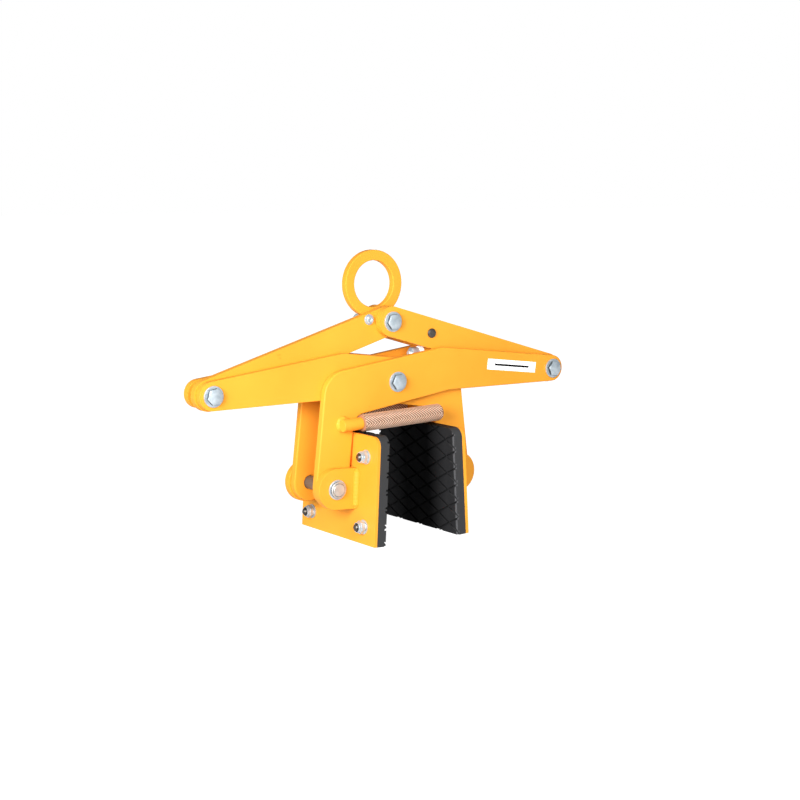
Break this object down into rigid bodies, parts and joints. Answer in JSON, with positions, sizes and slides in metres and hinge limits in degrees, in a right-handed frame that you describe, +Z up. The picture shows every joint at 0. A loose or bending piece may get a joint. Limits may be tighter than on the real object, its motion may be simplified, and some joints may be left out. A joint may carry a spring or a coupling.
{
  "type": "plate lifting clamp",
  "caption": "Scissor lifting clamp: crossed arm plates and links pull up on a lifting ring and close two rubber-faced pads on a slab, with side handles to steer it.",
  "frame": {"origin": "on the floor, under the centre pivot, midway between the pads and midway along their width", "axes": "+X across the jaws towards the outer arm's long end, +Y along the pads' width towards the rear plates, +Z up towards the lifting ring"},
  "size_m": [0.645, 0.197, 0.4215],
  "materials": {
    "paint": "glossy yellow-orange powder coat",
    "zinc": "bright zinc plate",
    "plain_steel": "turned bare steel",
    "dark_steel": "dark oiled steel",
    "rubber": "matte, diamond-grooved face",
    "grip": "diamond knurl, copper-toned",
    "nylon": "smooth"
  },
  "bodies": {
    "centre": {"centre_bolt": "zinc", "centre_nut": "zinc", "centre_washers": "zinc", "centre_spacer": "plain_steel"},
    "inner_arm": {"inner_arm_front": "paint", "inner_arm_rear": "paint", "handle_bar_rear": "paint", "handle_grip_rear": "grip", "left_bolt": "zinc", "left_nut": "zinc", "left_washers": "zinc", "left_spacer": "plain_steel"},
    "outer_arm": {"outer_arm_front": "paint", "outer_arm_rear": "paint", "handle_bar_front": "paint", "handle_grip_front": "grip", "stop_bar": "paint", "stop_screw": "dark_steel", "stop_bumper": "nylon", "stop_nut": "dark_steel", "right_bolt": "zinc", "right_nut": "zinc", "right_washers": "zinc", "right_spacer": "plain_steel"},
    "left_link": {"left_link": "paint", "rest_bolt": "zinc", "rest_nut": "zinc", "rest_washers": "zinc"},
    "right_link": {"right_link_front": "paint", "right_link_rear": "paint", "tie_bolt": "dark_steel", "tie_nut": "zinc", "tie_tube": "plain_steel"},
    "top_pivot": {"top_bolt": "zinc", "top_nut": "zinc", "top_washers": "zinc"},
    "ring": {"lifting_ring": "paint"},
    "left_pad": {"left_pad_plate": "paint", "left_lug_front": "paint", "left_lug_rear": "paint", "left_pad_rubber": "rubber", "left_pad_studs": "dark_steel", "left_pad_nuts": "zinc", "left_pad_washers": "zinc", "left_pin": "plain_steel", "left_pin_washer": "zinc", "left_pin_clip": "dark_steel"},
    "right_pad": {"right_pad_plate": "paint", "right_lug_front": "paint", "right_lug_rear": "paint", "right_pad_rubber": "rubber", "right_pad_studs": "dark_steel", "right_pad_nuts": "zinc", "right_pad_washers": "zinc", "right_pin": "plain_steel", "right_pin_washer": "zinc", "right_pin_clip": "dark_steel"}
  },
  "joints": [
    {"name": "inner_arm_swing", "type": "hinge", "parent": "centre", "child": "inner_arm", "pos_m": [0, 0, 0.22822], "axis": [0, 1, 0], "range_deg": [0, 21]},
    {"name": "outer_arm_swing", "type": "hinge", "parent": "centre", "child": "outer_arm", "pos_m": [0, 0, 0.22822], "axis": [0, 1, 0], "range_deg": [-21, 0]},
    {"name": "left_link_swing", "type": "hinge", "parent": "inner_arm", "child": "left_link", "pos_m": [-0.3, 0, 0.22822], "axis": [0, 1, 0], "range_deg": [-31.1, 0]},
    {"name": "right_link_swing", "type": "hinge", "parent": "outer_arm", "child": "right_link", "pos_m": [0.3, 0, 0.22822], "axis": [0, 1, 0], "range_deg": [0, 31.1]},
    {"name": "top_rise", "type": "slide", "parent": "centre", "child": "top_pivot", "axis": [0, 0, 1], "range_m": [0, 0.1589]},
    {"name": "ring_swing", "type": "hinge", "parent": "top_pivot", "child": "ring", "pos_m": [0, 0, 0.31622], "axis": [0, 1, 0], "range_deg": [0, 70]},
    {"name": "left_pad_swing", "type": "hinge", "parent": "outer_arm", "child": "left_pad", "pos_m": [-0.115, 0, 0.08122], "axis": [0, 1, 0], "range_deg": [0, 18]},
    {"name": "right_pad_swing", "type": "hinge", "parent": "inner_arm", "child": "right_pad", "pos_m": [0.115, 0, 0.08122], "axis": [0, 1, 0], "range_deg": [-18, 0]}
  ],
  "couplings": [
    {"joint": "outer_arm_swing", "follows": "inner_arm_swing", "ratio": -1},
    {"joint": "left_link_swing", "follows": "inner_arm_swing", "ratio": -1.4779},
    {"joint": "right_link_swing", "follows": "inner_arm_swing", "ratio": 1.4779},
    {"joint": "top_rise", "follows": "inner_arm_swing", "m_per_rad": 0.4323},
    {"joint": "left_pad_swing", "follows": "inner_arm_swing", "ratio": 0.8571},
    {"joint": "right_pad_swing", "follows": "inner_arm_swing", "ratio": -0.8571}
  ]
}
